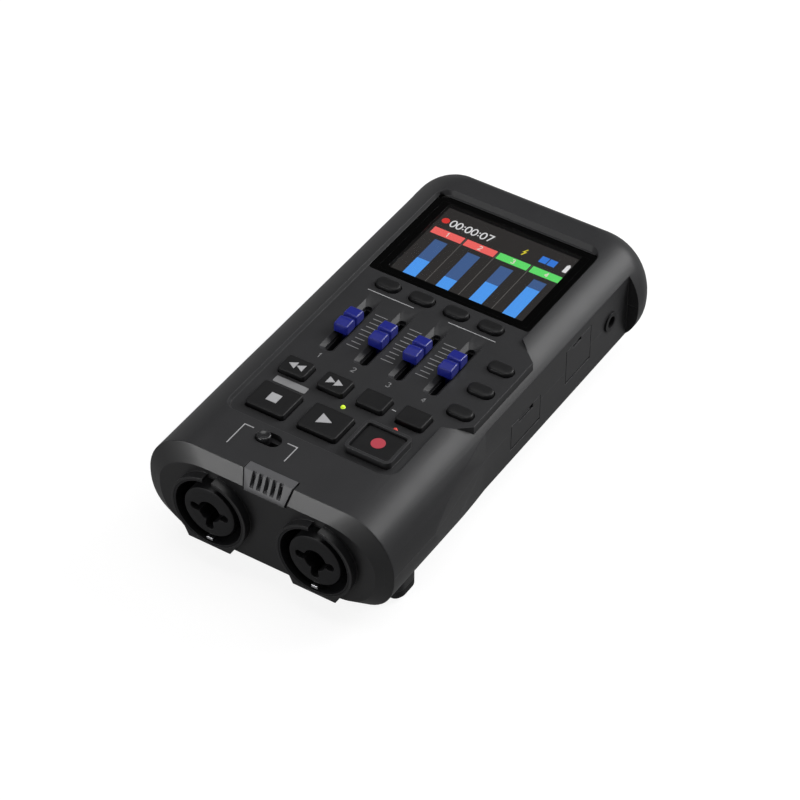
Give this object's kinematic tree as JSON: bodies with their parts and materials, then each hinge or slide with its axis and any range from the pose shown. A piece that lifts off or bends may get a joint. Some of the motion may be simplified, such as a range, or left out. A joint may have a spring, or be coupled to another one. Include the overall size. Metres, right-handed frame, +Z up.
{
  "type": "digital multitrack recorder",
  "caption": "Handheld multitrack audio recorder with sliding faders, a colour display, transport keys, combination input jacks and a battery bay.",
  "frame": {"origin": "middle of the footprint on the surface that the feet stand on", "axes": "+X across the width to the hatch side, +Y from the jacks to the display end, +Z up out of the control panel"},
  "size_m": [0.075, 0.141, 0.0392],
  "materials": {
    "case_grey": "fine textured grey moulding",
    "front_dark": "fine textured dark moulding",
    "grille_grey": "fine textured light grey moulding",
    "key_black": "satin black",
    "fader_blue": "satin blue",
    "jack_black": "satin black",
    "plated_steel": "plated",
    "board_green": "solder mask",
    "window_glass": "clear gloss",
    "display_black": "dark bezel",
    "lamp_green": "clear green",
    "lamp_red": "clear red",
    "cell_wrap": "plain printed wrap",
    "bush_brass": "turned",
    "foot_rubber": "matt"
  },
  "bodies": {
    "base": {"upper_case": "case_grey", "lower_case": "case_grey", "front_legs": "case_grey", "cell_tray": "case_grey", "front_panel": "front_dark", "mic_grille": "grille_grey", "mic_capsules": "plated_steel", "display_window": "window_glass", "display_module": "display_black", "main_board": "board_green", "jack_board": "board_green", "jack_shell_a": "jack_black", "jack_shell_b": "jack_black", "jack_core_a": "jack_black", "jack_core_b": "jack_black", "fader_bodies": "jack_black", "key_switches": "plated_steel", "play_lamp": "lamp_green", "record_lamp": "lamp_red", "input_toggle_base": "plated_steel", "data_socket": "plated_steel", "card_socket": "plated_steel", "line_socket": "jack_black", "phones_socket": "jack_black", "power_toggle_base": "plated_steel", "volume_base": "plated_steel", "dial_base": "plated_steel", "cell_1": "cell_wrap", "cell_2": "cell_wrap", "cell_contacts": "plated_steel", "tripod_bush": "bush_brass", "case_screws": "plated_steel", "feet": "foot_rubber"},
    "fader_cap_1_body": {"fader_cap_1": "fader_blue"},
    "fader_cap_2_body": {"fader_cap_2": "fader_blue"},
    "fader_cap_3_body": {"fader_cap_3": "fader_blue"},
    "fader_cap_4_body": {"fader_cap_4": "fader_blue"},
    "channel_key_1_body": {"channel_key_1": "key_black"},
    "channel_key_2_body": {"channel_key_2": "key_black"},
    "channel_key_3_body": {"channel_key_3": "key_black"},
    "channel_key_4_body": {"channel_key_4": "key_black"},
    "input_key_body": {"input_key": "key_black"},
    "effect_key_body": {"effect_key": "key_black"},
    "rhythm_key_body": {"rhythm_key": "key_black"},
    "rewind_key_body": {"rewind_key": "key_black"},
    "forward_key_body": {"forward_key": "key_black"},
    "undo_key_body": {"undo_key": "key_black"},
    "bounce_key_body": {"bounce_key": "key_black"},
    "stop_key_body": {"stop_key": "key_black"},
    "play_key_body": {"play_key": "key_black"},
    "record_key_body": {"record_key": "key_black"},
    "input_toggle_body": {"input_toggle": "key_black"},
    "power_toggle_body": {"power_toggle": "key_black"},
    "volume_wheel_body": {"volume_wheel": "key_black"},
    "select_dial_body": {"select_dial": "key_black"},
    "data_hatch_body": {"data_hatch": "case_grey"},
    "card_hatch_body": {"card_hatch": "case_grey"},
    "battery_cover_body": {"battery_cover": "case_grey"}
  },
  "joints": [
    {"name": "fader_1_slide", "type": "slide", "parent": "base", "child": "fader_cap_1_body", "axis": [0, 1, 0], "range_m": [-0.007, 0.007]},
    {"name": "fader_2_slide", "type": "slide", "parent": "base", "child": "fader_cap_2_body", "axis": [0, 1, 0], "range_m": [-0.007, 0.007]},
    {"name": "fader_3_slide", "type": "slide", "parent": "base", "child": "fader_cap_3_body", "axis": [0, 1, 0], "range_m": [-0.007, 0.007]},
    {"name": "fader_4_slide", "type": "slide", "parent": "base", "child": "fader_cap_4_body", "axis": [0, 1, 0], "range_m": [-0.007, 0.007]},
    {"name": "channel_key_1_press", "type": "slide", "parent": "base", "child": "channel_key_1_body", "axis": [0, 0, -1], "range_m": [0, 0.0007], "stiffness_N_per_m": 800},
    {"name": "channel_key_2_press", "type": "slide", "parent": "base", "child": "channel_key_2_body", "axis": [0, 0, -1], "range_m": [0, 0.0007], "stiffness_N_per_m": 800},
    {"name": "channel_key_3_press", "type": "slide", "parent": "base", "child": "channel_key_3_body", "axis": [0, 0, -1], "range_m": [0, 0.0007], "stiffness_N_per_m": 800},
    {"name": "channel_key_4_press", "type": "slide", "parent": "base", "child": "channel_key_4_body", "axis": [0, 0, -1], "range_m": [0, 0.0007], "stiffness_N_per_m": 800},
    {"name": "input_key_press", "type": "slide", "parent": "base", "child": "input_key_body", "axis": [0, 0, -1], "range_m": [0, 0.0007], "stiffness_N_per_m": 800},
    {"name": "effect_key_press", "type": "slide", "parent": "base", "child": "effect_key_body", "axis": [0, 0, -1], "range_m": [0, 0.0007], "stiffness_N_per_m": 800},
    {"name": "rhythm_key_press", "type": "slide", "parent": "base", "child": "rhythm_key_body", "axis": [0, 0, -1], "range_m": [0, 0.0007], "stiffness_N_per_m": 800},
    {"name": "rewind_key_press", "type": "slide", "parent": "base", "child": "rewind_key_body", "axis": [0, 0, -1], "range_m": [0, 0.0007], "stiffness_N_per_m": 800},
    {"name": "forward_key_press", "type": "slide", "parent": "base", "child": "forward_key_body", "axis": [0, 0, -1], "range_m": [0, 0.0007], "stiffness_N_per_m": 800},
    {"name": "undo_key_press", "type": "slide", "parent": "base", "child": "undo_key_body", "axis": [0, 0, -1], "range_m": [0, 0.0007], "stiffness_N_per_m": 800},
    {"name": "bounce_key_press", "type": "slide", "parent": "base", "child": "bounce_key_body", "axis": [0, 0, -1], "range_m": [0, 0.0007], "stiffness_N_per_m": 800},
    {"name": "stop_key_press", "type": "slide", "parent": "base", "child": "stop_key_body", "axis": [0, 0, -1], "range_m": [0, 0.0007], "stiffness_N_per_m": 800},
    {"name": "play_key_press", "type": "slide", "parent": "base", "child": "play_key_body", "axis": [0, 0, -1], "range_m": [0, 0.0007], "stiffness_N_per_m": 800},
    {"name": "record_key_press", "type": "slide", "parent": "base", "child": "record_key_body", "axis": [0, 0, -1], "range_m": [0, 0.0007], "stiffness_N_per_m": 800},
    {"name": "input_toggle_slide", "type": "slide", "parent": "base", "child": "input_toggle_body", "axis": [1, 0, 0], "range_m": [0, 0.0028]},
    {"name": "power_toggle_slide", "type": "slide", "parent": "base", "child": "power_toggle_body", "axis": [0, 1, 0], "range_m": [-0.0015, 0.0015], "stiffness_N_per_m": 400},
    {"name": "volume_turn", "type": "hinge", "parent": "base", "child": "volume_wheel_body", "pos_m": [-0.0284, 0.01349, 0.0228], "axis": [0, 0, 1], "range_deg": [-150, 150]},
    {"name": "select_turn", "type": "hinge", "parent": "base", "child": "select_dial_body", "pos_m": [-0.0274, -0.0085, 0.0228], "axis": [0, 0, 1], "continuous": true},
    {"name": "data_hatch_hinge", "type": "hinge", "parent": "base", "child": "data_hatch_body", "pos_m": [0.0334, 0.03111, 0.0179], "axis": [0, 1, 0], "range_deg": [0, 85]},
    {"name": "card_hatch_hinge", "type": "hinge", "parent": "base", "child": "card_hatch_body", "pos_m": [0.0334, 0.00381, 0.0158], "axis": [0, 1, 0], "range_deg": [0, 85]},
    {"name": "battery_cover_hinge", "type": "hinge", "parent": "base", "child": "battery_cover_body", "pos_m": [0, 0.0415, 0.0022], "axis": [1, 0, 0], "range_deg": [0, 100]}
  ]
}
